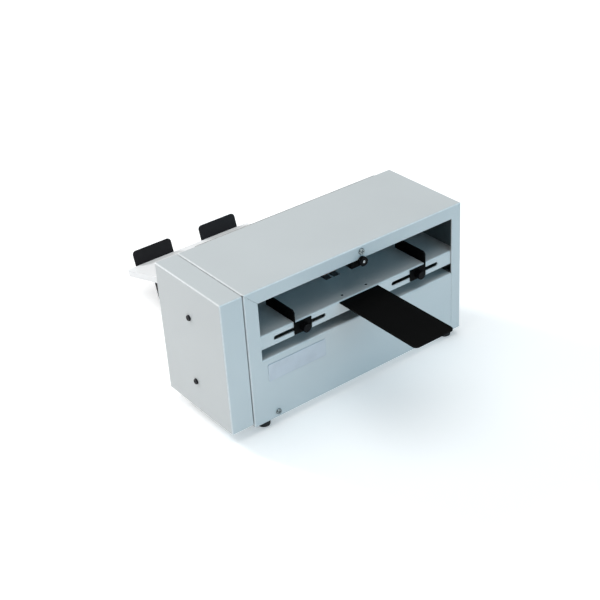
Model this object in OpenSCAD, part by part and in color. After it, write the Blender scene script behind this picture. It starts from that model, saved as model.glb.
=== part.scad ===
// Desktop paper creasing machine.
// Sheet-metal housing with a hinged cover, a friction feeder, crease rollers and an exit tray.
// Machine coordinates: x = 0 is the housing's left face, y = 0 its front face, z = 0 its underside.
// at_machine() moves them so that the origin is the middle of the whole machine's footprint.

/* [Housing] */
// Width of the main housing
body_w = 356; // [350:1:372]
// Depth of the housing, front face to rear face
body_d = 145; // [144:1:156]
// Height of the housing above its underside
body_h = 194; // [192:1:206]
// Thickness of the housing sheet
sheet = 1.5; // [1.2:0.1:1.8]
// Outer radius of the sheet's bends
bend_r = 2.4; // [2:0.1:3]
// Width of the gear cover on the left end
gear_cover_w = 32.4; // [30:0.2:40]
// Gap between the gear cover and the housing
seam_gap = 2; // [1.6:0.1:4]
// How far the gear cover's underside lies above the housing's
gear_cover_lift = 4.4; // [2:0.1:8]

/* [Front window] */
// Width of the flange left of the window
left_flange_w = 19.7; // [15:0.1:24]
// Width of the cover's flange right of the window
right_flange_w = 17.1; // [14:0.1:22]
// Height of the cover's flange above the window
top_flange_h = 18.6; // [17:0.1:19]
// Distance from the paper plane down to the lower front panel's top edge
panel_below = 33.7; // [28:0.1:40]
// Width of the saw-cut seams between cover and chassis
seam = 0.4; // [0.3:0.05:0.6]
// Size of the bare plate on the front panel, width and height
name_plate_size = [91, 25]; // [10:1:100]
// Distance of the bare plate from the housing's left face
name_plate_in = 27; // [22:1:60]
// Distance of the bare plate below the panel's top edge
name_plate_below = 9.3; // [6:0.1:30]

/* [Chassis] */
// Thickness of the two frame plates
plate_t = 2; // [1.5:0.1:3]
// Depth that the frame plates stand back from the front face
plate_setback = 4; // [3.8:0.1:5]
// Distance from the cover's right face to the right frame plate
right_space = 6; // [5.5:0.1:8]
// Height of the upturned edges of the base pan
upstand_h = 15; // [10:1:20]
// Diameter of the round tie rods
tie_rod_d = 8; // [7:0.5:10]

/* [Feed] */
// Height of the feed shelf's front strip
strip_h = 19.3; // [17:0.1:22]
// Offset of the paper's middle from the housing's middle
paper_offset = 4; // [0:0.5:5]
// Clear width between the side guides as they stand
guide_gap = 217; // [180:1:230]
// Height of the side guides above the shelf
guide_h = 17; // [12:0.5:24]
// Width of the slots that the guides slide along
guide_slot_h = 6; // [4.6:0.1:6.4]
// Length of each guide slot
guide_slot_l = 82; // [70:1:86]
// Width of the feed tongue
tongue_w = 64; // [50:1:80]
// Length of the feed tongue in front of the housing
tongue_reach = 142; // [100:1:180]
// Thickness of the feed tongue
tongue_t = 2; // [1.5:0.1:2.4]

/* [Separator] */
// Width of the separator's channel
channel_w = 22; // [21:0.5:26]
// Height of the separator's channel
channel_h = 17; // [14:0.5:19]
// Diameter of the adjusting knob
knob_d = 12.8; // [12:0.2:16]
// Throw of the eccentric that lifts the separator
cam_throw = 2; // [1.5:0.1:2.2]
// How far the knob turns either way
knob_turn = 34; // [10:1:34]
// Thickness of the rubber separator pad
pad_t = 3; // [2:0.1:4]

/* [Rollers and gears] */
// Distance of the crease shafts in front of the housing's rear face
crease_back = 45; // [43:0.5:46]
// Radius of the crease shafts
crease_shaft_r = 5; // [4:0.5:6]
// Radius of the feed shaft
feed_shaft_r = 4; // [3:0.5:5]
// Radius of the exit shaft
exit_shaft_r = 3; // [2.5:0.25:3.5]
// Radius of the upper exit rollers
exit_upper_r = 6; // [5:0.5:7]
// Width of the rubber drive rollers
roller_w = 30; // [20:1:40]
// Width of each feed tyre
tyre_w = 8; // [6:0.5:9]
// Gear module, pitch diameter per tooth
gear_m = 1; // [0.98:0.01:1.02]
// Width of the gears
gear_w = 7; // [5:0.5:8]

/* [Exit tray] */
// Width of the exit tray
tray_w = 222; // [200:1:240]
// Length of the exit tray
tray_l = 288; // [240:1:320]
// Slope of the exit tray below the horizontal
tray_slope = 16.2; // [14:0.1:18]
// Distance of the tray's front edge below the paper plane
tray_below = 18; // [14:0.5:22]
// Depth of the tray's turned-down sides
tray_side_h = 10; // [8:0.5:14]
// Width of each paper stop
stop_w = 68; // [50:1:80]
// Height of the paper stops above the tray
stop_h = 23; // [16:0.5:30]
// Distance between the two paper stops
stop_gap = 52; // [40:1:60]
// Distance from the tray's rear edge to its leg
leg_back = 83; // [73:1:93]

/* [Feet] */
// Diameter of the rubber feet at the top
foot_d = 19; // [14:0.5:20]
// Height of the rubber feet
foot_h = 12; // [8:0.5:16]
// Distance of the left feet from the housing's left face
foot_in_left = 23; // [22:1:30]
// Distance of the right feet from the housing's right face
foot_in_right = 17; // [14:1:24]
// Distance of the feet from the front and rear faces
foot_in_y = 14; // [12:1:20]

/* [Hidden] */
$fn = 48;

// Colours
paint = "#c9cfd0";
black = "#17181a";
steel = "#a9adb2";
zinc = "#c4c7c9";
nylon = "#dcd8cb";
rubber_black = "#202124";
tray_white = "#f0f1f2";
board_green = "#2b6a46";

// Paper plane, the top of the feed shelf, as a share of the housing's height
paper_share = 63 / 97;
paper_z = body_h * paper_share;
panel_h = paper_z - panel_below;
tray_z = paper_z - tray_below;
crease_y = body_d - crease_back;

// Clearances shared by all pieces
over = 1;                 // overrun of every cut
slack = 0.3;              // between pieces that pass or rest on each other
run = 0.05;               // radial clearance of a turning fit
press = 0.02;             // radial clearance of a pressed or screwed fit

// Screws
screw_r = 2;
screw_head_r = 4;
screw_head_h = 2.4;
screw_l = 10;
drive_reach_share = 0.6;
drive_width_share = 0.2;
drive_depth_share = 0.5;

// Frame plates
plate_gap = 0.5;          // between the cover's inside and what stands beside it
left_plate_x = sheet + plate_gap;
left_in = left_plate_x + plate_t;
right_plate_x = body_w - right_space - plate_t;
plate_y1 = body_d - plate_setback;
plate_drop = 10;
plate_top = body_h - plate_drop;
plate_foot_w = 12;
base_x1 = body_w - sheet - plate_gap;

// Front window
win_x1 = body_w - right_flange_w;
win_z1 = body_h - top_flange_h;
side_return = 9;          // depth of the left flange's return
panel_return = 24;        // depth of the lower panel's folded-back top edge
panel_screw_x = 37.8;
panel_screw_z = 7.7;
rear_lip_h = 10;          // depth of the cover's turned-down rear edge
left_lip_h = 4.5;         // depth of its turned-down left edge
rear_lip_z = body_h - rear_lip_h;

// Paper line
feed_x = body_w / 2 + paper_offset;
channel_shift = 3;        // the separator's channel lies this far left of its rod
channel_mid = feed_x - channel_shift;

// Gear train, as angles from one centre to the next and radii by tooth count
crease_teeth = 28;
drive_teeth = 56;
pinion_teeth = 12;
reduction_teeth = 60;
reduction_small_teeth = 14;
feed_idler_teeth = 18;
feed_teeth = 30;
exit_idler_teeth = 18;
exit_teeth = 16;
pressure_angle = 20;
addendum_share = 0.75;
dedendum_share = 1.05;
backlash_share = 0.06;
feed_idler_dir = 225;
exit_idler_dir = -20;
exit_dir = 50;
reduction_dir = -82;

function pitch_r(n) = n * gear_m / 2;
function step(p, n1, n2, dir) =
    p + (pitch_r(n1) + pitch_r(n2)) * [cos(dir), sin(dir)];
// Turn that puts a gear in mesh with its driver: dir is the way from the driver's centre to it
function mesh_turn(dir, n1, turn1, n2) =
    dir + 180 - (0.5 - (dir - turn1) * n1 / 360) * 360 / n2;

lower_c = [crease_y, paper_z - pitch_r(crease_teeth)];
upper_c = [crease_y, paper_z + pitch_r(crease_teeth)];
feed_idler_c = step(lower_c, crease_teeth, feed_idler_teeth, feed_idler_dir);
// The feed shaft lies level with the lower crease shaft
feed_dir = 180 - asin((lower_c[1] - feed_idler_c[1]) / pitch_r(feed_idler_teeth + feed_teeth));
feed_c = step(feed_idler_c, feed_idler_teeth, feed_teeth, feed_dir);
exit_idler_c = step(lower_c, crease_teeth, exit_idler_teeth, exit_idler_dir);
exit_c = step(exit_idler_c, exit_idler_teeth, exit_teeth, exit_dir);
reduction_c = step(lower_c, drive_teeth, reduction_small_teeth, reduction_dir);
// The motor hangs below the reduction gear, as far as the base lets it
motor_span = pitch_r(reduction_teeth + pinion_teeth);
motor_gap = 1.4;          // motor to the head of the reduction gear's stud
stud_r = 3;
stud_head_r = 4.6;
motor_r = motor_span - stud_head_r - motor_gap;
motor_hang_share = 0.99;
motor_z = max(motor_r + sheet + plate_t + slack, reduction_c[1] - motor_span * motor_hang_share);
motor_dir = asin((reduction_c[1] - motor_z) / motor_span) - 180;
motor_c = step(reduction_c, reduction_teeth, pinion_teeth, motor_dir);
exit_upper_c = [exit_c[0], paper_z + exit_upper_r + slack];

upper_turn = mesh_turn(90, crease_teeth, 0, crease_teeth);
feed_idler_turn = mesh_turn(feed_idler_dir, crease_teeth, 0, feed_idler_teeth);
feed_turn = mesh_turn(feed_dir, feed_idler_teeth, feed_idler_turn, feed_teeth);
exit_idler_turn = mesh_turn(exit_idler_dir, crease_teeth, 0, exit_idler_teeth);
exit_turn = mesh_turn(exit_dir, exit_idler_teeth, exit_idler_turn, exit_teeth);
reduction_turn = mesh_turn(reduction_dir, drive_teeth, 0, reduction_small_teeth);
pinion_turn = mesh_turn(motor_dir, reduction_teeth, reduction_turn, pinion_teeth);

layer_gap = 2;            // frame plate to the first layer of gears
layer_space = 1.5;        // one layer of gears to the next
function layer_x(i) = left_plate_x - layer_gap - gear_w - i * (gear_w + layer_space);
end_past = 0.8;           // shaft ends stand this far past their gears
stud_head_t = 0.8;
stud_gap = 0.2;
motor_shaft_r = 3;

// Roller radii follow from the shaft places and the paper plane
crease_r = pitch_r(crease_teeth);
press_r = crease_r - slack;
tyre_proud = 1;
tyre_r = paper_z + tyre_proud - feed_c[1];
exit_roller_r = paper_z - exit_c[1];
crease_roller_off = 75;
exit_roller_off = 62;
exit_roller_w = 14;
tyre_off = 6.5;             // tyre middles either side of the channel's middle

// Whole machine
gear_cover_x0 = -seam_gap - gear_cover_w;
tray_gap = 1;
stop_t = 1.5;
stop_s1 = tray_l + tray_gap / 2 + stop_t;
reach_y = body_d + tray_gap + stop_s1 * cos(tray_slope) + stop_h * sin(tray_slope);
middle_x = (gear_cover_x0 - screw_head_h + body_w) / 2;
middle_y = (reach_y - tongue_reach) / 2;

// Shapes

module at_machine() translate([-middle_x, -middle_y, foot_h]) children();

// Box between two corners
module block(a, b) translate(a) cube(b - a);

// Extrusions along each axis; the outline's plane is YZ, XZ or XY
module prism_x(x0, x1) translate([x0, 0, 0]) rotate([90, 0, 90]) linear_extrude(x1 - x0) children();
module prism_y(y0, y1) translate([0, y1, 0]) rotate([90, 0, 0]) linear_extrude(y1 - y0) children();
module prism_z(z0, z1) translate([0, 0, z0]) linear_extrude(z1 - z0) children();

// Round bars between two planes
module bar_x(x0, x1, c, r) translate([x0, c[0], c[1]]) rotate([0, 90, 0]) cylinder(h = x1 - x0, r = r);
module bar_y(y0, y1, c, r) translate([c[0], y0, c[1]]) rotate([-90, 0, 0]) cylinder(h = y1 - y0, r = r);
module bar_z(z0, z1, c, r) translate([c[0], c[1], z0]) cylinder(h = z1 - z0, r = r);

// Rectangle between two corners with some corners rounded: lower left, lower right, upper right, upper left
module rounded(a, b, r, which = [1, 1, 1, 1]) {
    difference() {
        translate(a) square(b - a);
        for (i = [0:3]) {
            if (which[i] == 1) {
                left = i == 0 || i == 3;
                low = i < 2;
                x = left ? a[0] + r : b[0] - r;
                y = low ? a[1] + r : b[1] - r;
                translate([x, y]) difference() {
                    translate([left ? -r - over : 0, low ? -r - over : 0]) square(r + over);
                    circle(r);
                }
            }
        }
    }
}

// Slot with round ends between two end points' x values
module slot_2d(x0, x1, y, r) {
    translate([x0 + r, y - r]) square([x1 - x0 - 2 * r, 2 * r]);
    translate([x0 + r, y]) circle(r);
    translate([x1 - r, y]) circle(r);
}

// Pan-head screw pointing along +Z, its head's seat at z = 0, with a cross in the head
module screw(l = screw_l, r = screw_r, head_r = screw_head_r, head_h = screw_head_h) {
    half_drive = drive_reach_share * head_r;
    drive_w = drive_width_share * head_r;
    difference() {
        union() {
            translate([0, 0, -head_h]) cylinder(h = head_h / 2, r1 = head_r - head_h / 4, r2 = head_r);
            translate([0, 0, -head_h / 2]) cylinder(h = head_h / 2, r = head_r);
            cylinder(h = l, r = r);
        }
        for (a = [0, 90]) {
            rotate(a) translate([-half_drive, -drive_w / 2, -head_h - over])
                cube([2 * half_drive, drive_w, over + head_h * drive_depth_share]);
        }
    }
}
module screw_px(p, l = screw_l) translate(p) rotate([0, 90, 0]) screw(l);
module screw_mx(p, l = screw_l) translate(p) rotate([0, -90, 0]) screw(l);
module screw_py(p, l = screw_l) translate(p) rotate([-90, 0, 0]) screw(l);

// Outline of a knurled round head
grip_count = 18;
grip_share = 0.09;
grip_fn = 16;
module knurled_2d(r) {
    difference() {
        circle(r);
        for (i = [0:grip_count - 1]) {
            rotate(i * 360 / grip_count) translate([r, 0]) circle(r * grip_share, $fn = grip_fn);
        }
    }
}

// Involute tooth flanks, as half angles of a tooth at a radius
function inv(a) = tan(a) * 180 / PI - a;
function flank_angle(n, r) =
    let (rb = pitch_r(n) * cos(pressure_angle))
    (90 - backlash_share * 180 / PI) / n + inv(pressure_angle) - inv(acos(min(1, rb / r)));
function on_circle(r, a) = r * [cos(a), sin(a)];
function tooth(n, a) =
    let (
        rp = pitch_r(n),
        ra = rp + addendum_share * gear_m,
        rr = rp - dedendum_share * gear_m,
        rb = max(rp * cos(pressure_angle), rr),
        f0 = flank_angle(n, rb),
        f1 = flank_angle(n, rp),
        f2 = flank_angle(n, ra)
    )
    [
        on_circle(rr, a - f0), on_circle(rb, a - f0), on_circle(rp, a - f1), on_circle(ra, a - f2),
        on_circle(ra, a + f2), on_circle(rp, a + f1), on_circle(rb, a + f0), on_circle(rr, a + f0)
    ];
module gear_2d(n, bore_r, turn = 0) {
    difference() {
        polygon([for (i = [0:n - 1]) each tooth(n, turn + i * 360 / n)]);
        circle(bore_r);
    }
}
module gear_at(c, layer, n, bore_r, turn) {
    translate([0, c[0], c[1]]) prism_x(layer_x(layer), layer_x(layer) + gear_w) gear_2d(n, bore_r, turn);
}

// Chassis

foot_places = [
    for (x = [foot_in_left, body_w - foot_in_right]) for (y = [foot_in_y, body_d - foot_in_y]) [x, y]
];
board_in = 70;            // board's distance from the housing's right face
board_front = 28;         // from its front face
board_back = 37;          // and from its rear face
board_w = 90;
board_x = [body_w - board_in - board_w, body_w - board_in];
board_y = [board_front, body_d - board_back];
board_z = 12;
board_t = 1.6;
board_hole_in = 5;
board_post_r = 3.5;
board_places = [
    for (x = [board_x[0] + board_hole_in, board_x[1] - board_hole_in])
        for (y = [board_y[0] + board_hole_in, board_y[1] - board_hole_in]) [x, y]
];

module base_pan() color(paint) at_machine() {
    difference() {
        union() {
            block([sheet + slack, sheet, 0], [win_x1 - seam, body_d - sheet, sheet]);
            block([left_in, 2 * sheet, 0], [base_x1, body_d - sheet, sheet]);
            block([left_in, sheet, 0], [win_x1 - seam, 2 * sheet, upstand_h]);
            block([left_in, body_d - 2 * sheet, 0], [base_x1, body_d - sheet, upstand_h]);
            for (p = board_places) bar_z(0, board_z, p, board_post_r);
        }
        for (p = foot_places) bar_z(-over, sheet + over, p, screw_r + press);
        for (p = board_places) bar_z(sheet, board_z + over, p, screw_r / 2 + press);
        bar_y(0, 2 * sheet + over, [panel_screw_x, panel_screw_z], screw_r + press);
        bar_y(0, 2 * sheet + over, [body_w - panel_screw_x, panel_screw_z], screw_r + press);
    }
}

module front_panel() color(paint) at_machine() {
    right = win_x1 - seam;
    difference() {
        union() {
            // Lower panel with its folded-back top edge
            prism_x(0, right) difference() {
                rounded([0, 0], [panel_return, panel_h], bend_r, [0, 0, 0, 1]);
                rounded([sheet, -over], [panel_return + over, panel_h - sheet], bend_r - sheet, [0, 0, 0, 1]);
            }
            // Left flange beside the window, mitred at its top
            prism_y(0, sheet) polygon([
                [0, 0], [left_flange_w, 0], [left_flange_w, win_z1 - seam], [0, body_h - seam]
            ]);
            // Left return inside the seam
            block([0, 0, 0], [sheet, side_return, body_h - left_lip_h - seam]);
        }
        // Rounded front left edge
        prism_z(-over, body_h + over) difference() {
            translate([-over, -over]) square(bend_r + over);
            translate([bend_r, bend_r]) circle(bend_r);
        }
        // Relief of the folded edge beside the left return
        block([sheet, sheet, panel_h - 2 * sheet], [left_flange_w, panel_return + over, panel_h + over]);
        bar_y(-over, sheet + over, [panel_screw_x, panel_screw_z], screw_r + press);
        bar_y(-over, sheet + over, [body_w - panel_screw_x, panel_screw_z], screw_r + press);
    }
}

name_plate_t = 0.6;
module name_plate() color(zinc) at_machine() {
    a = [name_plate_in, panel_h - name_plate_below - name_plate_size[1]];
    prism_y(-name_plate_t, 0) rounded(a, a + name_plate_size, name_plate_t * 2);
}

exit_slot_below = 8;
exit_slot_above = 10;
exit_slot_in = 40;
hook_w = 20;
hook_off = 70;
hook_below = 3.6;
hook_z = tray_z - hook_below;
hook_t = 1.5;
entry_w = 28;
entry_h = 48;
entry_in = 30;
entry_x = [body_w - entry_in - entry_w, body_w - entry_in];
entry_z0 = 28;
entry_z = [entry_z0, entry_z0 + entry_h];
entry_d = 26;
vent_count = 7;
vent_pitch = 9;
vent_l = 34;
vent_r = 1.6;
vent_x = 22;
vent_z = 30;
module rear_panel() color(paint) at_machine() {
    y0 = body_d - sheet;
    difference() {
        block([left_plate_x, y0, 0], [base_x1, body_d, rear_lip_z - seam]);
        // Paper exit
        prism_y(y0 - over, body_d + over)
            rounded([exit_slot_in, paper_z - exit_slot_below],
                    [body_w - exit_slot_in, paper_z + exit_slot_above], bend_r);
        // Slots for the tray's hooks
        for (side = [-1, 1]) {
            x = body_w / 2 + side * hook_off;
            block([x - hook_w / 2 - slack, y0 - over, hook_z - slack],
                  [x + hook_w / 2 + slack, body_d + over, hook_z + hook_t + slack]);
        }
        // Opening for the power entry
        block([entry_x[0] - slack, y0 - over, entry_z[0] - slack],
              [entry_x[1] + slack, body_d + over, entry_z[1] + slack]);
        // Cooling slots beside the motor
        for (i = [0:vent_count - 1]) {
            prism_y(y0 - over, body_d + over)
                slot_2d(vent_x, vent_x + vent_l, vent_z + i * vent_pitch - vent_r, vent_r);
        }
    }
}

// Shaft places with the radius of each shaft
shafts = [
    [lower_c, crease_shaft_r], [upper_c, crease_shaft_r], [feed_c, feed_shaft_r],
    [exit_c, exit_shaft_r], [exit_upper_c, exit_shaft_r]
];
bush_wall = 2;
bush_flange = 1.6;
bush_flange_t = 1.2;
shelf_y1 = crease_y - crease_shaft_r - bush_wall - bush_flange - slack;
rod_in = 16;
rod_low = 24;
rod_under = 8;            // upper front rod below the panel's top edge
rod_back = 20;            // rear rod in front of the rear face
rod_drop = 22;            // rear rod below the top
rod_places = [[rod_in, panel_h - rod_under], [rod_in, rod_low], [body_d - rod_back, body_h - rod_drop]];
bar_y0 = 10;
bar_d = 8;
bar_h = 8;
bar_drop = 13;
bar_z0 = body_h - bar_drop;
bar_c = [bar_y0 + bar_d / 2, bar_z0 + bar_h / 2];
pillar_front = 26.5;      // in front of the crease shafts
pillar_drops = [49, 144];  // below the housing's top
pillar_places = [for (drop = pillar_drops) [crease_y - pillar_front, body_h - drop]];
pillar_r = 4;
motor_boss_r = 9;
motor_rim = 8;            // motor's screws from its edge
motor_screws = 4;
motor_screw_turn = 45;
function motor_hole(i) =
    motor_c + on_circle(motor_r - motor_rim, motor_screw_turn + i * 360 / motor_screws);
motor_holes = [for (i = [0:motor_screws - 1]) motor_hole(i)];

module plate_blank(x0) {
    difference() {
        block([x0, plate_setback, sheet], [x0 + plate_t, plate_y1, plate_top]);
        for (s = shafts) bar_x(x0 - over, x0 + plate_t + over, s[0], s[1] + bush_wall + press);
        for (c = rod_places) bar_x(x0 - over, x0 + plate_t + over, c, screw_r + press);
    }
}

module left_frame_plate() color(zinc) at_machine() {
    difference() {
        union() {
            plate_blank(left_plate_x);
            block([left_plate_x, plate_setback, sheet], [left_in + plate_foot_w, plate_y1, sheet + plate_t]);
            // Ear that carries the tie bar
            block([left_plate_x, plate_setback, plate_top - over], [left_in, bar_y0 + bar_d, bar_z0 + bar_h]);
        }
        bar_x(left_plate_x - over, left_in + over, bar_c, screw_r + press);
        for (c = pillar_places) bar_x(left_plate_x - over, left_in + over, c, screw_r + press);
        for (c = [feed_idler_c, exit_idler_c, reduction_c])
            bar_x(left_plate_x - over, left_in + over, c, stud_r + press);
        bar_x(left_plate_x - over, left_in + over, motor_c, motor_boss_r + press);
        for (c = motor_holes) bar_x(left_plate_x - over, left_in + over, c, screw_r + press);
    }
}

module right_frame_plate() color(zinc) at_machine() {
    x0 = right_plate_x;
    difference() {
        union() {
            plate_blank(x0);
            block([x0 - plate_foot_w, plate_setback, sheet], [x0 + plate_t, plate_y1, sheet + plate_t]);
            block([x0, plate_setback, plate_top - over], [x0 + plate_t, bar_y0 + bar_d, bar_z0 + bar_h]);
        }
        bar_x(x0 - over, x0 + plate_t + over, bar_c, screw_r + press);
        for (p = foot_places) bar_z(sheet - over, sheet + plate_t + over, p, screw_r + press);
    }
}

module tapped_bar(c, r) {
    difference() {
        bar_x(left_in, right_plate_x, c, r);
        bar_x(left_in - over, left_in + screw_l, c, screw_r + press);
        bar_x(right_plate_x - screw_l, right_plate_x + over, c, screw_r + press);
    }
}
module tie_rods() color(steel) at_machine() for (c = rod_places) tapped_bar(c, tie_rod_d / 2);

// Tie bar, and the bent fork welded to it that the cover's lock screw drops into
lock_shift = 0.6;
lock_x = feed_x + lock_shift;
lock_drop = 8.4;
lock_z = body_h - lock_drop;
lock_r = 1.5;
lock_head_r = 4.4;
lock_nut_r = 2.7;
fork_gap = 2.9;           // behind the cover's flange
fork_y = sheet + fork_gap;
fork_t = 1.2;
fork_w = 18;
fork_seat_t = 1;
module front_tie_bar() color(steel) at_machine() {
    slot_r = lock_r + 2 * slack;
    z0 = bar_z0 + stud_gap;
    difference() {
        block([left_in, bar_y0, bar_z0], [right_plate_x, bar_y0 + bar_d, bar_z0 + bar_h]);
        bar_x(left_in - over, left_in + screw_l, bar_c, screw_r + press);
        bar_x(right_plate_x - screw_l, right_plate_x + over, bar_c, screw_r + press);
    }
    difference() {
        union() {
            block([lock_x - fork_w / 2, fork_y, z0], [lock_x + fork_w / 2, fork_y + fork_t, bar_z0 + bar_h]);
            block([lock_x - fork_w / 2, fork_y, z0], [lock_x + fork_w / 2, bar_y0 - press, z0 + fork_seat_t]);
        }
        bar_y(fork_y - over, fork_y + fork_t + slack, [lock_x, lock_z], slot_r);
        block([lock_x - slot_r, fork_y - over, lock_z],
              [lock_x + slot_r, fork_y + fork_t + slack, bar_z0 + bar_h + over]);
    }
}

tongue_screw_y = 12;
tongue_screw_off = 20;
panel_screw_l = 7;
foot_screw_past = 2;
board_screw_l = 4;
board_screw_head_h = 1.2;
module chassis_screws() color(steel) at_machine() {
    for (c = concat(rod_places, [bar_c])) {
        screw_px([left_plate_x, c[0], c[1]]);
        screw_mx([right_plate_x + plate_t, c[0], c[1]]);
    }
    for (c = motor_holes) screw_px([left_plate_x, c[0], c[1]]);
    for (x = [panel_screw_x, body_w - panel_screw_x]) screw_py([x, 0, panel_screw_z], panel_screw_l);
    for (side = [-1, 1]) {
        x = body_w / 2 + side * tongue_screw_off;
        translate([x, tongue_screw_y, paper_z - sheet - tongue_t]) screw(sheet + tongue_t - slack);
    }
    for (p = foot_places) {
        translate([p[0], p[1], foot_recess - foot_h]) screw(foot_h - foot_recess + sheet + foot_screw_past);
    }
    for (p = board_places) {
        translate([p[0], p[1], board_z + board_t]) rotate([180, 0, 0])
            screw(board_t + board_screw_l, screw_r / 2, screw_r, board_screw_head_h);
    }
}

strip_gap = 0.5;          // shelf strip behind the front flange
strip_y = sheet + strip_gap;
strip_y1 = strip_y + sheet;
shelf_side_h = 6;
guide_slot_drop = 10.2;
guide_slot_z = paper_z - guide_slot_drop;
guide_slot_in = 40.7;
notch_slack = 0.5;
tyre_window = 10.5;
window_gap = 1.5;
module feed_shelf() color(paint) at_machine() {
    x0 = left_in;
    x1 = right_plate_x;
    difference() {
        union() {
            prism_x(x0, x1) difference() {
                rounded([strip_y, paper_z - strip_h], [shelf_y1, paper_z], bend_r, [0, 0, 0, 1]);
                rounded([strip_y1, paper_z - strip_h - over], [shelf_y1 + over, paper_z - sheet],
                        bend_r - sheet, [0, 0, 0, 1]);
            }
            block([x0, strip_y1, paper_z - shelf_side_h], [x0 + sheet, shelf_y1, paper_z]);
            block([x1 - sheet, strip_y1, paper_z - shelf_side_h], [x1, shelf_y1, paper_z]);
        }
        // Slots for the side guides
        prism_y(strip_y - over, strip_y1 + over) {
            slot_2d(guide_slot_in, guide_slot_in + guide_slot_l, guide_slot_z, guide_slot_h / 2);
            slot_2d(body_w - guide_slot_in - guide_slot_l, body_w - guide_slot_in,
                    guide_slot_z, guide_slot_h / 2);
        }
        // Notch for the feed tongue
        block([(body_w - tongue_w) / 2 - notch_slack, strip_y - over, paper_z - sheet - tongue_t - slack],
              [(body_w + tongue_w) / 2 + notch_slack, strip_y1 + bend_r, paper_z - sheet]);
        // Windows for the feed tyres
        for (side = [-1, 1]) {
            x = channel_mid + side * tyre_off;
            block([x - tyre_w / 2 - window_gap, feed_c[0] - tyre_window, paper_z - sheet - over],
                  [x + tyre_w / 2 + window_gap, feed_c[0] + tyre_window, paper_z + over]);
        }
        for (side = [-1, 1]) {
            bar_z(paper_z - sheet - over, paper_z + over,
                  [body_w / 2 + side * tongue_screw_off, tongue_screw_y], screw_r + press);
        }
    }
}

tongue_gap = 9;           // in front of the feed tyres
tongue_in = feed_c[0] - tyre_r - tongue_gap;
tongue_corner_r = 6;
module feed_tongue() color(black) at_machine() {
    z1 = paper_z - sheet;
    difference() {
        prism_z(z1 - tongue_t, z1) rounded([(body_w - tongue_w) / 2, -tongue_reach],
                                           [(body_w + tongue_w) / 2, tongue_in], tongue_corner_r);
        for (side = [-1, 1]) {
            bar_z(z1 - tongue_t - over, z1 + over,
                  [body_w / 2 + side * tongue_screw_off, tongue_screw_y], screw_r + press);
        }
    }
}

exit_plate_gap = 1;
exit_plate_y0 = crease_y + crease_r + exit_plate_gap;
exit_plate_drop = 0.5;
exit_window = 7.5;
module exit_guide_plate() color(zinc) at_machine() {
    z1 = paper_z - exit_plate_drop;
    difference() {
        union() {
            block([left_in, exit_plate_y0, z1 - sheet], [right_plate_x, body_d - sheet, z1]);
            block([left_in, exit_plate_y0, z1 - shelf_side_h], [right_plate_x, exit_plate_y0 + sheet, z1]);
        }
        for (side = [-1, 1]) {
            x = channel_mid + side * exit_roller_off;
            block([x - exit_roller_w / 2 - window_gap, exit_c[0] - exit_window, z1 - sheet - over],
                  [x + exit_roller_w / 2 + window_gap, exit_c[0] + exit_window, z1 + over]);
        }
    }
}

guard_front = 36;         // in front of the crease shafts
guard_y = crease_y - guard_front;
guard_clear = 8;
guard_below = 5;          // below the tie bar
guard_top_d = 12;
module feed_guard() color(black) at_machine() {
    z0 = paper_z + guard_clear;
    z1 = bar_z0 - guard_below;
    gap_half = channel_w / 2 + 2 * window_gap;
    difference() {
        union() {
            block([left_in, guard_y, z0], [right_plate_x, guard_y + sheet, z1]);
            block([left_in, guard_y, z1 - sheet], [right_plate_x, guard_y + guard_top_d, z1]);
        }
        block([channel_mid - gap_half, guard_y - over, z0 - over],
              [channel_mid + gap_half, guard_y + guard_top_d + over, z1 + over]);
    }
}

// Bush with its flange on the inner side of a frame plate
module bush(c, r, x_flange, x_out) {
    difference() {
        union() {
            bar_x(min(x_flange, x_out), max(x_flange, x_out), c, r + bush_wall);
            bar_x(x_flange < x_out ? x_flange - bush_flange_t : x_flange,
                  x_flange < x_out ? x_flange : x_flange + bush_flange_t, c, r + bush_wall + bush_flange);
        }
        bar_x(min(x_flange, x_out) - bush_flange_t - over, max(x_flange, x_out) + bush_flange_t + over,
              c, r + run);
    }
}
module shaft_bushes() color("#b08d57") at_machine() {
    for (s = shafts) {
        bush(s[0], s[1], left_in, left_plate_x);
        bush(s[0], s[1], right_plate_x, right_plate_x + plate_t);
    }
}

// Fixed stud for an idler: shoulder inside the plate, collar to the gear, head past the gear
module stud(c, first, last) {
    x_gear = layer_x(first) + gear_w + stud_gap;
    x_end = layer_x(last) - stud_gap;
    bar_x(x_end - stud_head_t, left_in + over, c, stud_r);
    bar_x(left_in, left_in + over, c, stud_head_r);
    bar_x(x_gear, left_plate_x, c, stud_head_r);
    bar_x(x_end - stud_head_t, x_end, c, stud_head_r);
}
module gear_studs() color(steel) at_machine() {
    stud(feed_idler_c, 0, 0);
    stud(exit_idler_c, 0, 0);
    stud(reduction_c, 1, 2);
}

module gear_cover_outline(inset, r) {
    x0 = gear_cover_x0 + inset;
    x1 = inset > 0 ? -seam_gap + over : -seam_gap;
    y1 = body_d - inset;
    z0 = gear_cover_lift + inset;
    z1 = body_h - inset;
    intersection() {
        prism_x(x0, x1) rounded([inset, z0], [y1, z1], r);
        prism_y(inset, y1) rounded([x0, z0], [x1, z1], r, [1, 0, 0, 1]);
        prism_z(z0, z1) rounded([x0, inset], [x1, y1], r, [1, 0, 0, 1]);
    }
}
module gear_cover() color(paint) at_machine() {
    difference() {
        gear_cover_outline(0, bend_r);
        gear_cover_outline(sheet, bend_r - sheet);
        for (c = pillar_places) bar_x(gear_cover_x0 - over, gear_cover_x0 + sheet + over, c, screw_r + press);
    }
}

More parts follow.
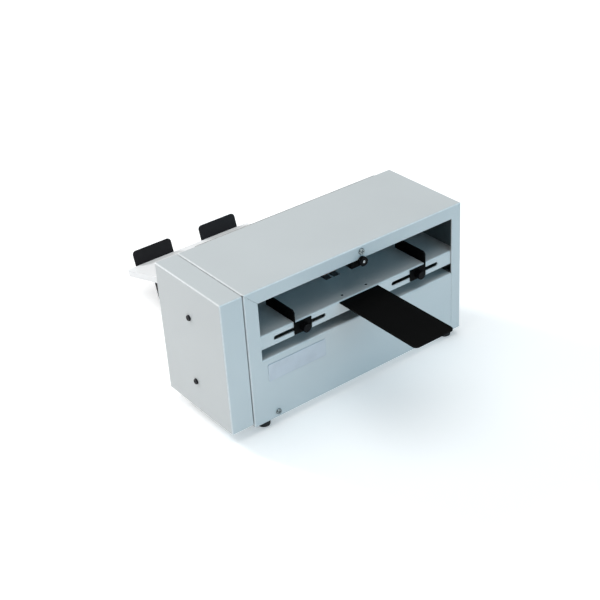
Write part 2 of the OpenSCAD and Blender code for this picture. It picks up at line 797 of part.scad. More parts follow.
// Pillars riveted into the left frame plate
module gear_cover_pillars() color(steel) at_machine() {
    for (c = pillar_places) difference() {
        union() {
            bar_x(gear_cover_x0 + sheet, left_plate_x, c, pillar_r);
            bar_x(left_plate_x - over, left_in, c, screw_r);
        }
        bar_x(gear_cover_x0, gear_cover_x0 + sheet + screw_l, c, screw_r + press);
    }
}
module gear_cover_screws() color(black) at_machine() {
    for (c = pillar_places) screw_px([gear_cover_x0, c[0], c[1]]);
}

motor_l = 84;
motor_face_t = 3;
motor_can_in = 1.5;
motor_vents = 12;
motor_vent_r = 2;
motor_vent_in = 10;
motor_vent_depth = 12;
motor_tail = 4;
module motor_body() color("#8e9296") at_machine() {
    x0 = left_in;
    difference() {
        union() {
            bar_x(x0, x0 + motor_face_t, motor_c, motor_r);
            bar_x(x0 + motor_face_t, x0 + motor_l - motor_face_t, motor_c, motor_r - motor_can_in);
            bar_x(x0 + motor_l - motor_face_t, x0 + motor_l, motor_c, motor_r);
            bar_x(left_plate_x, x0, motor_c, motor_boss_r);
        }
        bar_x(left_plate_x - over, x0 + motor_l + over, motor_c, motor_shaft_r + run);
        for (c = motor_holes) bar_x(x0 - over, x0 + screw_l, c, screw_r + press);
        for (i = [0:motor_vents - 1]) {
            a = i * 360 / motor_vents;
            bar_x(x0 + motor_l - motor_vent_depth, x0 + motor_l + over,
                  motor_c + on_circle(motor_r - motor_vent_in, a), motor_vent_r);
        }
    }
}

// Power entry: appliance inlet with a rocker switch above it
entry_flange = 3;
entry_flange_t = 2;
entry_wall = 2;
inlet_w = 24;
inlet_h = 22;
inlet_r = 4;
contact_w = 1.5;
contact_h = 4;
contact_l = 14;
contact_off = 7;
contact_low = 5;
contact_lift = 3;
entry_mid = (entry_x[0] + entry_x[1]) / 2;
inlet_z0 = entry_z0 + entry_wall;
rocker_w = 20;
rocker_half = 6.6;
rocker_tilt = 12;
rocker_deep = 4;          // pivot below the flange's face
well_half = 8;
rocker_gap = 0.5;
pivot_r = 1.5;
rocker_c = [body_d + entry_flange_t - rocker_deep, entry_z[1] - entry_flange - well_half];
module power_entry() color(black) at_machine() {
    y0 = body_d - entry_d + entry_wall;
    y1 = body_d + entry_flange_t;
    difference() {
        union() {
            block([entry_x[0], body_d - entry_d, entry_z[0]], [entry_x[1], body_d, entry_z[1]]);
            prism_y(body_d, y1) rounded([entry_x[0] - entry_flange, entry_z[0] - entry_flange],
                                        [entry_x[1] + entry_flange, entry_z[1] + entry_flange], entry_flange);
        }
        prism_y(y0, y1 + over) rounded([entry_mid - inlet_w / 2, inlet_z0],
                                       [entry_mid + inlet_w / 2, inlet_z0 + inlet_h], inlet_r, [0, 0, 1, 1]);
        // Well for the rocker
        block([entry_mid - rocker_w / 2 - rocker_gap, y0, rocker_c[1] - well_half],
              [entry_mid + rocker_w / 2 + rocker_gap, y1 + over, rocker_c[1] + well_half]);
    }
    for (side = [-1, 0, 1]) {
        x = entry_mid + side * contact_off;
        z = inlet_z0 + contact_low + (side == 0 ? contact_lift : 0);
        block([x - contact_w / 2, y0 - slack, z], [x + contact_w / 2, y0 + contact_l, z + contact_h]);
    }
    // Pivot stubs for the rocker
    stub = rocker_gap + 2 * over;
    bar_x(entry_mid - rocker_w / 2 - stub + over, entry_mid - rocker_w / 2 + over, rocker_c, pivot_r);
    bar_x(entry_mid + rocker_w / 2 - over, entry_mid + rocker_w / 2 + stub - over, rocker_c, pivot_r);
}
module power_rocker() color("#2a2b2e") at_machine() {
    rise = rocker_half * tan(rocker_tilt);
    half = [
        [rocker_deep, 0], [rocker_deep + rise, rocker_half],
        [rocker_deep / 2, rocker_half - rise / 3], [-pivot_r, 2 * pivot_r], [-2 * pivot_r, 0]
    ];
    translate([0, rocker_c[0], rocker_c[1]])
        prism_x(entry_mid - rocker_w / 2, entry_mid + rocker_w / 2) rotate(-rocker_tilt) difference() {
            polygon(concat(half, [for (i = [3, 2, 1]) [half[i][0], -half[i][1]]]));
            circle(pivot_r + run);
        }
}

relay_size = [20, 16, 15];
relay_count = 2;
relay_pitch = 30;
cap_r = 8;
cap_h = 24;
terminal_size = [30, 9, 11];
sink_size = [4, 17, 22];
part_in = 14;
module control_board() color(board_green) at_machine() {
    a = [board_x[0] + part_in, board_y[0] + part_in, board_z + board_t - press];
    b = [board_x[1] - part_in, board_y[1] - part_in, board_z + board_t - press];
    difference() {
        block([board_x[0], board_y[0], board_z], [board_x[1], board_y[1], board_z + board_t]);
        for (p = board_places) bar_z(board_z - over, board_z + board_t + over, p, screw_r / 2 + press);
    }
    for (i = [0:relay_count - 1]) translate([i * relay_pitch, 0, 0]) block(a, a + relay_size);
    bar_z(a[2], a[2] + cap_h, [b[0] - cap_r, b[1] - cap_r], cap_r);
    block([a[0], b[1] - terminal_size[1], a[2]], [a[0] + terminal_size[0], b[1], a[2] + terminal_size[2]]);
    block([b[0] - sink_size[0], a[1], a[2]], [b[0], a[1] + sink_size[1], a[2] + sink_size[2]]);
}

// Piano hinge at the cover's rear edge
hinge_in = 28;
knuckles = 15;
knuckle_gap = 0.4;
knuckle_r = 2.4;
leaf_t = 1.2;
leaf_low = 18;
leaf_high = 9;
hinge_pin_r = 1.25;
hinge_c = [body_d + knuckle_r, rear_lip_z];
hinge_x0 = hinge_in;
knuckle_w = (body_w - 2 * hinge_in) / knuckles;
cover_open = 100;
lug_l = 9;
lug_t = 2.4;
lug_knuckles = [0, 6, 14];
module knuckle_row(first) {
    for (i = [first:2:knuckles - 1]) {
        x = hinge_x0 + i * knuckle_w + knuckle_gap / 2;
        bar_x(x, x + knuckle_w - knuckle_gap, hinge_c, knuckle_r);
    }
}
// Room round the other leaf's knuckles
module knuckle_room(first) {
    for (i = [first:2:knuckles - 1]) {
        x = hinge_x0 + i * knuckle_w - knuckle_gap / 2;
        bar_x(x, x + knuckle_w + knuckle_gap, hinge_c, knuckle_r + slack);
    }
}
module hinge_lower_leaf() color(zinc) at_machine() {
    x1 = body_w - hinge_in;
    difference() {
        union() {
            block([hinge_x0, body_d, hinge_c[1] - leaf_low], [x1, body_d + leaf_t, hinge_c[1]]);
            knuckle_row(0);
            // Lugs that stop the upper leaf when the cover is open
            for (i = lug_knuckles) {
                x = hinge_x0 + i * knuckle_w + knuckle_gap;
                translate([0, hinge_c[0], hinge_c[1]]) prism_x(x, x + knuckle_w - 2 * knuckle_gap)
                    rotate(90 - cover_open)
                    translate([hinge_pin_r + slack, knuckle_r - leaf_t - slack - lug_t])
                    square([lug_l, lug_t]);
            }
        }
        knuckle_room(1);
        bar_x(hinge_x0 - over, x1 + over, hinge_c, hinge_pin_r + press);
    }
}
module hinge_upper_leaf() color(zinc) at_machine() {
    x1 = body_w - hinge_in;
    difference() {
        union() {
            block([hinge_x0, body_d, hinge_c[1]], [x1, body_d + leaf_t, hinge_c[1] + leaf_high]);
            knuckle_row(1);
        }
        knuckle_room(0);
        bar_x(hinge_x0 - over, x1 + over, hinge_c, hinge_pin_r + run);
    }
}
module hinge_pin() color(steel) at_machine() bar_x(hinge_x0, body_w - hinge_in, hinge_c, hinge_pin_r);

foot_recess = 5;
foot_taper = 1;
module rubber_feet() color(rubber_black) at_machine() {
    for (p = foot_places) difference() {
        translate([p[0], p[1], -foot_h]) cylinder(h = foot_h, r1 = foot_d / 2 - foot_taper, r2 = foot_d / 2);
        bar_z(-foot_h - over, over, p, screw_r + press);
        bar_z(-foot_h - over, -foot_h + foot_recess, p, screw_head_r + slack);
    }
}

// Exit tray, drawn in its own frame: y runs along the tray, z is square to it
module tray_frame() translate([0, body_d + tray_gap, tray_z]) rotate([-tray_slope, 0, 0]) children();
tray_x0 = (body_w - tray_w) / 2;
tray_x1 = tray_x0 + tray_w;
tray_corner_r = 5;
arm_w = 26;
arm_off = (stop_w + stop_gap) / 2;
arm_t = 1.5;
arm_l = 243;
keeper_back = [134, 22];  // keepers from the tray's rear edge
keeper_l = 10;
keeper_t = 1.2;
hook_drop = 9;
hook_root = 4;
hook_reach = 8;
hook_inset = 2.4;
module exit_tray() color(tray_white) at_machine() {
    difference() {
        tray_frame() difference() {
            prism_z(-tray_side_h, 0) rounded([tray_x0, 0], [tray_x1, tray_l], tray_corner_r, [0, 0, 1, 1]);
            block([tray_x0 + sheet, -over, -tray_side_h - over], [tray_x1 - sheet, tray_l + over, -sheet]);
        }
        // Sides cut back from the rear panel
        block([0, body_d - tray_side_h, tray_z - 2 * tray_side_h], [body_w, body_d + slack, tray_z]);
    }
    tray_frame() {
        // Keepers that the stop's arms slide through
        for (back = keeper_back) for (side = [-1, 1]) {
            s = tray_l - back;
            x0 = body_w / 2 + side * arm_off - arm_w / 2 - slack;
            x1 = x0 + arm_w + 2 * slack;
            low = -sheet - arm_t - 2 * slack;
            difference() {
                block([x0 - keeper_t, s, low - keeper_t], [x1 + keeper_t, s + keeper_l, -sheet / 2]);
                block([x0, s - over, low], [x1, s + keeper_l + over, -sheet]);
            }
        }
    }
    // Hooks through the rear panel
    for (side = [-1, 1]) {
        x0 = body_w / 2 + side * hook_off - hook_w / 2;
        x1 = x0 + hook_w;
        y1 = body_d - sheet - slack;
        block([x0, y1 - hook_t, hook_z], [x1, body_d + hook_reach, hook_z + hook_t]);
        block([x0, y1 - hook_t, hook_z - hook_drop], [x1, y1, hook_z + hook_t]);
        block([x0, body_d + hook_root, hook_z], [x1, body_d + hook_reach, tray_z - hook_inset]);
    }
}

leg_t = 1.5;
leg_in = 4;
leg_post = 14;
leg_bar = 12;
leg_top = 22;
leg_side = 8;
leg_s = tray_l - leg_back;
leg_len = (tray_z - leg_s * sin(tray_slope) + foot_h) / cos(tray_slope) + leg_side;
leg_z0 = -leg_len;
leg_bar_z1 = leg_side + leg_bar - leg_len;
module tray_leg() color(black) at_machine() {
    x0 = tray_x0 + leg_in;
    x1 = tray_x1 - leg_in;
    difference() {
        tray_frame() {
            difference() {
                block([x0, leg_s, leg_z0], [x1, leg_s + leg_t, -sheet]);
                block([x0 + leg_post, leg_s - over, leg_bar_z1],
                      [x1 - leg_post, leg_s + leg_t + over, -leg_top]);
                for (side = [-1, 1]) {
                    x = body_w / 2 + side * arm_off - arm_w / 2 - 3 * slack;
                    block([x, leg_s - over, -sheet - arm_t - 4 * slack],
                          [x + arm_w + 6 * slack, leg_s + leg_t + over, -sheet + over]);
                }
            }
            // Folded sides
            for (x = [x0, x1 - leg_t]) block([x, leg_s, leg_z0], [x + leg_t, leg_s + leg_side, -sheet]);
        }
        // Cut level where it stands on the table
        block([0, 0, -foot_h - leg_len], [body_w, body_d + 2 * tray_l, -foot_h]);
    }
}

// Paper stop: two tabs behind the tray's rear edge on arms that slide beneath it
module paper_stop() color(black) at_machine() tray_frame() {
    s0 = stop_s1 - stop_t;
    low = -sheet - slack - arm_t;
    mid = body_w / 2;
    for (side = [-1, 1]) {
        c = mid + side * arm_off;
        block([c - arm_w / 2, tray_l - arm_l, low], [c + arm_w / 2, stop_s1, low + arm_t]);
        prism_y(s0, stop_s1) rounded([c - stop_w / 2, low], [c + stop_w / 2, stop_h],
                                     tongue_corner_r, [0, 0, 1, 1]);
    }
    half = arm_off + stop_w / 2;
    block([mid - half, s0, low - tray_side_h / 2], [mid + half, stop_s1, low + arm_t]);
}

// Separator

channel_x0 = channel_mid - channel_w / 2;
channel_x1 = channel_mid + channel_w / 2;
channel_t = 1.5;
channel_gap = 1;          // behind the cover's flange
channel_y0 = sheet + channel_gap;
channel_z0 = bar_z0 - channel_h;
channel_web = 2;
channel_top = bar_z0 - channel_web;
rod_r = 2;
knob_z = win_z1 - slack - rod_r;
knob_gap = 1;
knob_l = 5;
knob_y0 = -knob_gap - knob_l;
knob_screw_t = 1.5;
knob_screw_r = 1.8;
collar_r = 4;
collar_w = 1.5;
cam_pin_r = 1.5;
stay_t = 2;
holder_lead = 3.6;        // holder in front of the feed shaft
holder_y = feed_c[0] - holder_lead;
stay_y = holder_y - slack - stay_t;
rod_y1 = holder_y - slack / 2;
holder_t = 4;
holder_drop = 17.5;
lip_t = 1;
lip_w = 3;
module separator_bracket() color(black) at_machine() {
    y1 = holder_y + holder_t + slack + lip_t;
    inner_x0 = channel_x0 + channel_t;
    inner_x1 = channel_x1 - channel_t;
    difference() {
        block([channel_x0, channel_y0, channel_z0], [channel_x1, y1, bar_z0]);
        block([inner_x0, channel_y0 + channel_t, channel_z0 - over], [inner_x1, y1 + over, channel_top]);
        bar_y(channel_y0 - over, channel_y0 + channel_t + over, [feed_x, knob_z], rod_r + run);
    }
    // Rear bearing of the rod, which the holder slides against
    difference() {
        block([inner_x0, stay_y, channel_z0], [inner_x1, stay_y + stay_t, channel_top]);
        bar_y(stay_y - over, stay_y + stay_t + over, [feed_x, knob_z], rod_r + run);
    }
    // Lips behind the holder
    for (x = [inner_x0, inner_x1 - lip_w]) block([x, y1 - lip_t, channel_z0], [x + lip_w, y1, channel_top]);
}

pad_half = 10;
pad_l = 16;
pad_gap = 1.3;            // pad above the tops of the tyres
module separator_holder() color("#55595e") at_machine() {
    z0 = paper_z + tyre_proud + pad_gap + pad_t;
    x0 = channel_x0 + channel_t + slack;
    x1 = channel_x1 - channel_t - slack;
    difference() {
        union() {
            block([x0, holder_y, z0], [x1, holder_y + holder_t, body_h - holder_drop]);
            block([channel_mid - pad_half, holder_y, z0],
                  [channel_mid + pad_half, holder_y + pad_l, z0 + holder_t / 2]);
        }
        prism_y(holder_y - over, holder_y + holder_t + over)
            slot_2d(feed_x + cam_throw * cos(knob_turn) - cam_pin_r - 2 * run,
                    feed_x + cam_throw + cam_pin_r + 2 * run, knob_z, cam_pin_r + 2 * run);
    }
}
module separator_pad() color("#6b3b2c") at_machine() {
    z0 = paper_z + tyre_proud + pad_gap;
    prism_x(channel_mid - pad_half, channel_mid + pad_half)
        rounded([holder_y, z0], [holder_y + pad_l, z0 + pad_t], pad_t / 2, [1, 1, 0, 0]);
}
module separator_knob() color(black) at_machine() {
    difference() {
        translate([feed_x, -knob_gap, knob_z]) rotate([90, 0, 0])
            linear_extrude(knob_l) knurled_2d(knob_d / 2);
        bar_y(knob_y0 - over, -knob_gap + over, [feed_x, knob_z], rod_r + press);
        bar_y(knob_y0 - over, knob_y0 + knob_screw_t, [feed_x, knob_z], knob_screw_r + press);
    }
}
module knob_screw() color(zinc) at_machine() {
    difference() {
        bar_y(knob_y0, knob_y0 + knob_screw_t, [feed_x, knob_z], knob_screw_r);
        block([feed_x - knob_screw_r, knob_y0 - over, knob_z - slack],
              [feed_x + knob_screw_r, knob_y0 + knob_screw_t / 2, knob_z + slack]);
    }
}
module adjust_rod() color(steel) at_machine() {
    bar_y(knob_y0 + knob_screw_t, rod_y1, [feed_x, knob_z], rod_r);
    // Collars that keep the rod in the bracket
    for (y = [channel_y0 + channel_t + slack, stay_y - slack - collar_w])
        bar_y(y, y + collar_w, [feed_x, knob_z], collar_r);
    // Eccentric pin in the holder's slot
    bar_y(rod_y1 - press, holder_y + holder_t, [feed_x + cam_throw, knob_z], cam_pin_r);
}

// Cover

module cover_solid(inset, r) {
    x1 = body_w - inset;
    y1 = body_d - inset;
    z1 = body_h - inset;
    z0 = inset > 0 ? -over : 0;
    intersection() {
        prism_x(inset, x1) rounded([inset, z0], [y1, z1], r, [0, 0, 1, 1]);
        prism_y(inset, y1) rounded([inset, z0], [x1, z1], r, [0, 0, 1, 1]);
        prism_z(z0, z1) rounded([inset, inset], [x1, y1], r, [0, 1, 0, 0]);
    }
}
module main_cover() color(paint) at_machine() {
    difference() {
        cover_solid(0, bend_r);
        cover_solid(sheet, bend_r - sheet);
        // Window and everything left of it below the mitre
        prism_y(-over, bend_r + sheet) polygon([
            [-over, -over], [win_x1, -over], [win_x1, win_z1], [left_flange_w, win_z1],
            [0, body_h], [-over, body_h]
        ]);
        // Open left end and open rear below the turned-down edges
        block([-over, -over, -over], [sheet + over, body_d + over, body_h - left_lip_h]);
        block([-over, body_d - bend_r - sheet, -over], [body_w - sheet, body_d + over, rear_lip_z + seam]);
        bar_y(-over, sheet + over, [lock_x, lock_z], lock_r + run);
    }
}
lock_past = 2;
module cover_lock_screw() color(steel) at_machine() {
    y1 = fork_y + fork_t;
    translate([lock_x, 0, lock_z]) rotate([-90, 0, 0]) screw(y1 + lock_past, lock_r, lock_head_r);
    bar_y(y1 + slack, y1 + lock_past / 2, [lock_x, lock_z], lock_nut_r);
}

// Side guides: fin on the shelf, bracket in front of the strip, clamp nut behind it

guide_t = 1.5;
guide_rub = 0.2;
guide_end = 4;            // in front of the feed guard
guide_l = guard_y - guide_end;
guide_front = strip_y - guide_t - guide_rub;
bracket_w = 27;
bracket_drop = 18;
thumb_in = 14;            // thumbscrew's distance from the fin
thumb_r = 6;
thumb_l = 8;
nut_t = 3;
nut_half = 6;
thumb_past = 2;
left_fin_x = feed_x - guide_gap / 2 - guide_t;
right_fin_x = feed_x + guide_gap / 2;
module side_guide(x, dir) {
    top = paper_z + guide_h;
    chamfer = guide_t * 2;
    thumb_x = (dir > 0 ? x : x + guide_t) + dir * thumb_in;
    difference() {
        union() {
            prism_x(x, x + guide_t) polygon([
                [guide_front, paper_z - bracket_drop], [guide_front + guide_t, paper_z - bracket_drop],
                [guide_front + guide_t, paper_z + slack], [guide_l, paper_z + slack],
                [guide_l, top], [guide_front + chamfer, top], [guide_front, top - chamfer]
            ]);
            x0 = dir > 0 ? x : x + guide_t - bracket_w;
            block([x0, guide_front, paper_z - bracket_drop],
                  [x0 + bracket_w, guide_front + guide_t, paper_z - guide_t]);
        }
        bar_y(guide_front - over, guide_front + guide_t + over, [thumb_x, guide_slot_z], screw_r + run);
    }
    difference() {
        block([thumb_x - nut_half, strip_y1 + slack, guide_slot_z - nut_half],
              [thumb_x + nut_half, strip_y1 + slack + nut_t, guide_slot_z + nut_half]);
        bar_y(strip_y1, strip_y1 + nut_t + over, [thumb_x, guide_slot_z], screw_r + run);
    }
}
module left_side_guide() color(black) at_machine() side_guide(left_fin_x, 1);
module right_side_guide() color(black) at_machine() side_guide(right_fin_x, -1);

module thumbscrew(x) {
    translate([x, guide_front - slack, guide_slot_z]) {
        rotate([90, 0, 0]) linear_extrude(thumb_l) knurled_2d(thumb_r);
        rotate([-90, 0, 0]) cylinder(h = strip_y1 + nut_t + thumb_past - guide_front, r = screw_r);
    }
}
module left_thumbscrew() color(black) at_machine() thumbscrew(left_fin_x + thumb_in);
module right_thumbscrew() color(black) at_machine() thumbscrew(right_fin_x + guide_t - thumb_in);

// Shafts and rollers

shaft_past = 1.5;
shaft_end_x = right_plate_x + plate_t + shaft_past;
function left_end(layer) = layer_x(layer) - end_past;

module collar(c, x_mid, w, r, bore) {
    difference() {
        bar_x(x_mid - w / 2, x_mid + w / 2, c, r);
        bar_x(x_mid - w / 2 - over, x_mid + w / 2 + over, c, bore + press);
    }
}
module lower_crease_shaft() color(steel) at_machine()
    bar_x(left_end(1), shaft_end_x, lower_c, crease_shaft_r);
groove_w = 2.4;
groove_depth = 1.2;
bead_w = 1.2;
bead_h = 0.7;
anvil_w = 16;
wheel_w = 12;
module crease_anvil() color(zinc) at_machine() {
    difference() {
        collar(lower_c, channel_mid, anvil_w, crease_r, crease_shaft_r);
        difference() {
            bar_x(channel_mid - groove_w / 2, channel_mid + groove_w / 2, lower_c, crease_r + over);
            bar_x(channel_mid - groove_w, channel_mid + groove_w, lower_c, crease_r - groove_depth);
        }
    }
}
module lower_drive_rollers() color(rubber_black) at_machine() {
    for (side = [-1, 1])
        collar(lower_c, channel_mid + side * crease_roller_off, roller_w, crease_r, crease_shaft_r);
}
module lower_crease_gears() color(steel) at_machine() {
    gear_at(lower_c, 0, crease_teeth, crease_shaft_r + press, 0);
    gear_at(lower_c, 1, drive_teeth, crease_shaft_r + press, 0);
}
module upper_crease_shaft() color(steel) at_machine()
    bar_x(left_end(0), shaft_end_x, upper_c, crease_shaft_r);
module crease_wheel() color(zinc) at_machine() {
    collar(upper_c, channel_mid, wheel_w, press_r, crease_shaft_r);
    collar(upper_c, channel_mid, bead_w, press_r + bead_h, press_r - over);
}
module upper_press_rollers() color(rubber_black) at_machine() {
    for (side = [-1, 1])
        collar(upper_c, channel_mid + side * crease_roller_off, roller_w, press_r, crease_shaft_r);
}
module upper_crease_gear() color(steel) at_machine()
    gear_at(upper_c, 0, crease_teeth, crease_shaft_r + press, upper_turn);

module feed_shaft() color(steel) at_machine() bar_x(left_end(0), shaft_end_x, feed_c, feed_shaft_r);
module feed_tyres() color(rubber_black) at_machine() {
    for (side = [-1, 1]) collar(feed_c, channel_mid + side * tyre_off, tyre_w, tyre_r, feed_shaft_r);
}
module feed_gear() color(nylon) at_machine() gear_at(feed_c, 0, feed_teeth, feed_shaft_r + press, feed_turn);

module exit_shaft() color(steel) at_machine() bar_x(left_end(0), shaft_end_x, exit_c, exit_shaft_r);
module exit_rollers() color(rubber_black) at_machine() {
    for (side = [-1, 1])
        collar(exit_c, channel_mid + side * exit_roller_off, exit_roller_w, exit_roller_r, exit_shaft_r);
}
module exit_gear() color(nylon) at_machine() gear_at(exit_c, 0, exit_teeth, exit_shaft_r + press, exit_turn);
module exit_upper_roller() color(nylon) at_machine() {
    bar_x(left_plate_x - layer_gap / 2, shaft_end_x, exit_upper_c, exit_shaft_r);
    for (side = [-1, 1]) {
        x = channel_mid + side * exit_roller_off;
        bar_x(x - exit_roller_w / 2, x + exit_roller_w / 2, exit_upper_c, exit_upper_r);
    }
}

module feed_idler_gear() color(nylon) at_machine()
    gear_at(feed_idler_c, 0, feed_idler_teeth, stud_r + run, feed_idler_turn);
module exit_idler_gear() color(nylon) at_machine()
    gear_at(exit_idler_c, 0, exit_idler_teeth, stud_r + run, exit_idler_turn);
module reduction_gear() color(nylon) at_machine() {
    gear_at(reduction_c, 1, reduction_small_teeth, stud_r + run, reduction_turn);
    gear_at(reduction_c, 2, reduction_teeth, stud_r + run, reduction_turn);
    difference() {
        x1 = layer_x(1) + press;
        bar_x(x1 - layer_space - 2 * press, x1, reduction_c, stud_head_r + over);
        bar_x(x1 - layer_space - over, x1 + over, reduction_c, stud_r + run);
    }
}
module motor_shaft() color(steel) at_machine() {
    bar_x(left_end(2), left_in + motor_l + motor_tail, motor_c, motor_shaft_r);
    gear_at(motor_c, 2, pinion_teeth, motor_shaft_r - over, pinion_turn);
}

base_pan();
front_panel();
name_plate();
rear_panel();
left_frame_plate();
right_frame_plate();
tie_rods();
front_tie_bar();
chassis_screws();
feed_shelf();
feed_tongue();
exit_guide_plate();
feed_guard();
shaft_bushes();
gear_studs();
gear_cover();
gear_cover_pillars();
gear_cover_screws();
motor_body();
power_entry();
control_board();
hinge_lower_leaf();
hinge_pin();
rubber_feet();
exit_tray();
tray_leg();
separator_bracket();
main_cover();
hinge_upper_leaf();
cover_lock_screw();
left_side_guide();
right_side_guide();
left_thumbscrew();
right_thumbscrew();
separator_holder();
separator_pad();
separator_knob();
knob_screw();
adjust_rod();
lower_crease_shaft();
crease_anvil();
lower_drive_rollers();
lower_crease_gears();
upper_crease_shaft();
crease_wheel();
upper_press_rollers();
upper_crease_gear();
feed_shaft();
feed_tyres();
feed_gear();
exit_shaft();
exit_rollers();
exit_gear();
exit_upper_roller();
feed_idler_gear();
exit_idler_gear();
reduction_gear();
motor_shaft();
power_rocker();
paper_stop();
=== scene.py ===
"""Looks, light and camera for the desktop paper creasing machine. Lengths are in metres."""

import math

import bmesh
import bpy
from mathutils import Matrix, Vector


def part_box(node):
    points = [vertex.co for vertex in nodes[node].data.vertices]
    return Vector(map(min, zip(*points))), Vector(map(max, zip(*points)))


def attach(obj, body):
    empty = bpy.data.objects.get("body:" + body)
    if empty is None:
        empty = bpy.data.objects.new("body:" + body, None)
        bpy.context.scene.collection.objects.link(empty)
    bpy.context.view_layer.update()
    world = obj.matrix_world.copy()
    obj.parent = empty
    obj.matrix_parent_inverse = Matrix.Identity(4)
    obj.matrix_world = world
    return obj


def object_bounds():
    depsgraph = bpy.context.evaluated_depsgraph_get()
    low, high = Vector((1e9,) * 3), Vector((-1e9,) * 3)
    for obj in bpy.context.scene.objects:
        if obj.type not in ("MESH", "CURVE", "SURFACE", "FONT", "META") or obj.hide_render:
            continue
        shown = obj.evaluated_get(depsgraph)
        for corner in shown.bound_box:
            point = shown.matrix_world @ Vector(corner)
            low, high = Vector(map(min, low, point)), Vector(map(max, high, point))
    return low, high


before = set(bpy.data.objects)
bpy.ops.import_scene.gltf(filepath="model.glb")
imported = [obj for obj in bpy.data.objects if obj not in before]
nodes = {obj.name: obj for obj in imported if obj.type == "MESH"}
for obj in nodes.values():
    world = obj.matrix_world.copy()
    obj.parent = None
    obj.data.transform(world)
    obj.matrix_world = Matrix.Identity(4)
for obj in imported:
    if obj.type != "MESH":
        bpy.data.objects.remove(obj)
cad_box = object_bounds()
scene = bpy.context.scene

MM = 0.001

# Camera: fitted to the photograph, its place measured from the housing's front lower left corner

PHOTO_PIXELS = 600
FOCAL_PIXELS = 1255.87
SENSOR = 36.0
AZIMUTH = math.radians(35.624)
ELEVATION = math.radians(30.913)
ROLL = math.radians(-3.798)
EYE = Vector((-692.42, -1081.78, 951.74)) * MM
CLIP = (0.05, 30)


def make_camera():
    corner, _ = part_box("front_panel")
    forward = Vector((
        math.sin(AZIMUTH) * math.cos(ELEVATION),
        math.cos(AZIMUTH) * math.cos(ELEVATION),
        -math.sin(ELEVATION),
    ))
    level = forward.cross(Vector((0, 0, 1))).normalized()
    upright = level.cross(forward)
    right = level * math.cos(ROLL) + upright * math.sin(ROLL)
    up = right.cross(forward)
    data = bpy.data.cameras.new("camera")
    data.sensor_width = SENSOR
    data.lens = FOCAL_PIXELS / PHOTO_PIXELS * SENSOR
    data.clip_start, data.clip_end = CLIP
    camera = bpy.data.objects.new("camera", data)
    scene.collection.objects.link(camera)
    pose = Matrix((right, up, -forward)).transposed().to_4x4()
    pose.translation = corner + EYE
    camera.matrix_world = pose
    scene.camera = camera


# Shader helpers

NOISE_SPAN = (0.3, 0.7)
BEVEL_SAMPLES = 6
EDGE_GAIN = 6.0
BEND_GAIN = 4.0
MIX_SOCKETS = (0, 6, 7)   # factor and the two colours of a colour mix
MIX_RESULT = 2


def give(tree, socket, value):
    """Sets the socket, or links it if the value is another node's output."""
    if isinstance(value, bpy.types.NodeSocket):
        tree.links.new(value, socket)
    else:
        socket.default_value = value


def add(tree, kind, settings=None, **inputs):
    """A shader node with its settings, and its inputs set or linked. Underscores stand for spaces."""
    made = tree.nodes.new(kind)
    for key, value in (settings or {}).items():
        setattr(made, key, value)
    for key, value in inputs.items():
        give(tree, made.inputs[key.replace("_", " ")], value)
    return made


def rgba(colour):
    return (*colour, 1.0)


def new_material(name):
    material = bpy.data.materials.new(name)
    material.use_nodes = True
    tree = material.node_tree
    shader = tree.nodes["Principled BSDF"]
    place = tree.nodes.new("ShaderNodeTexCoord").outputs["Object"]
    return material, tree, shader, place


def stretched(tree, place, scale):
    """Object coordinates scaled along each axis."""
    return add(tree, "ShaderNodeMapping", Vector=place, Scale=scale).outputs["Vector"]


def noise(tree, place, scale, detail=3.0):
    return add(tree, "ShaderNodeTexNoise", Vector=place, Scale=scale, Detail=detail).outputs["Fac"]


def spread(tree, value, low, high):
    """Maps a noise value from its usual span to the span from low to high."""
    return add(tree, "ShaderNodeMapRange", Value=value, From_Min=NOISE_SPAN[0], From_Max=NOISE_SPAN[1],
               To_Min=low, To_Max=high).outputs["Result"]


def mix(tree, factor, a, b):
    made = tree.nodes.new("ShaderNodeMix")
    made.data_type = "RGBA"
    for index, value in zip(MIX_SOCKETS, (factor, a, b)):
        give(tree, made.inputs[index], value)
    return made.outputs[MIX_RESULT]


def math_node(tree, operation, a, b=0.0, clamp=False):
    made = tree.nodes.new("ShaderNodeMath")
    made.operation = operation
    made.use_clamp = clamp
    for socket, value in zip(made.inputs, (a, b)):
        give(tree, socket, value)
    return made.outputs[0]


def soft_edge(tree, radius):
    """The rounded normal of a broken edge, and how much it turns away from the face."""
    bevel = add(tree, "ShaderNodeBevel", {"samples": BEVEL_SAMPLES}, Radius=radius).outputs["Normal"]
    flat = tree.nodes.new("ShaderNodeNewGeometry").outputs["Normal"]
    dot = tree.nodes.new("ShaderNodeVectorMath")
    dot.operation = "DOT_PRODUCT"
    tree.links.new(bevel, dot.inputs[0])
    tree.links.new(flat, dot.inputs[1])
    turned = math_node(tree, "SUBTRACT", 1.0, dot.outputs["Value"])
    return bevel, math_node(tree, "MULTIPLY", turned, EDGE_GAIN, clamp=True)


def rolled(tree):
    """How far a face leans away from the nearest axis: 0 on flat sheet, 1 on a rolled bend."""
    sizes = tree.nodes.new("ShaderNodeVectorMath")
    sizes.operation = "ABSOLUTE"
    tree.links.new(tree.nodes.new("ShaderNodeTexCoord").outputs["Normal"], sizes.inputs[0])
    split = tree.nodes.new("ShaderNodeSeparateXYZ")
    tree.links.new(sizes.outputs["Vector"], split.inputs[0])
    most = math_node(tree, "MAXIMUM", split.outputs["X"], split.outputs["Y"])
    most = math_node(tree, "MAXIMUM", most, split.outputs["Z"])
    return math_node(tree, "MULTIPLY", math_node(tree, "SUBTRACT", 1.0, most), BEND_GAIN, clamp=True)


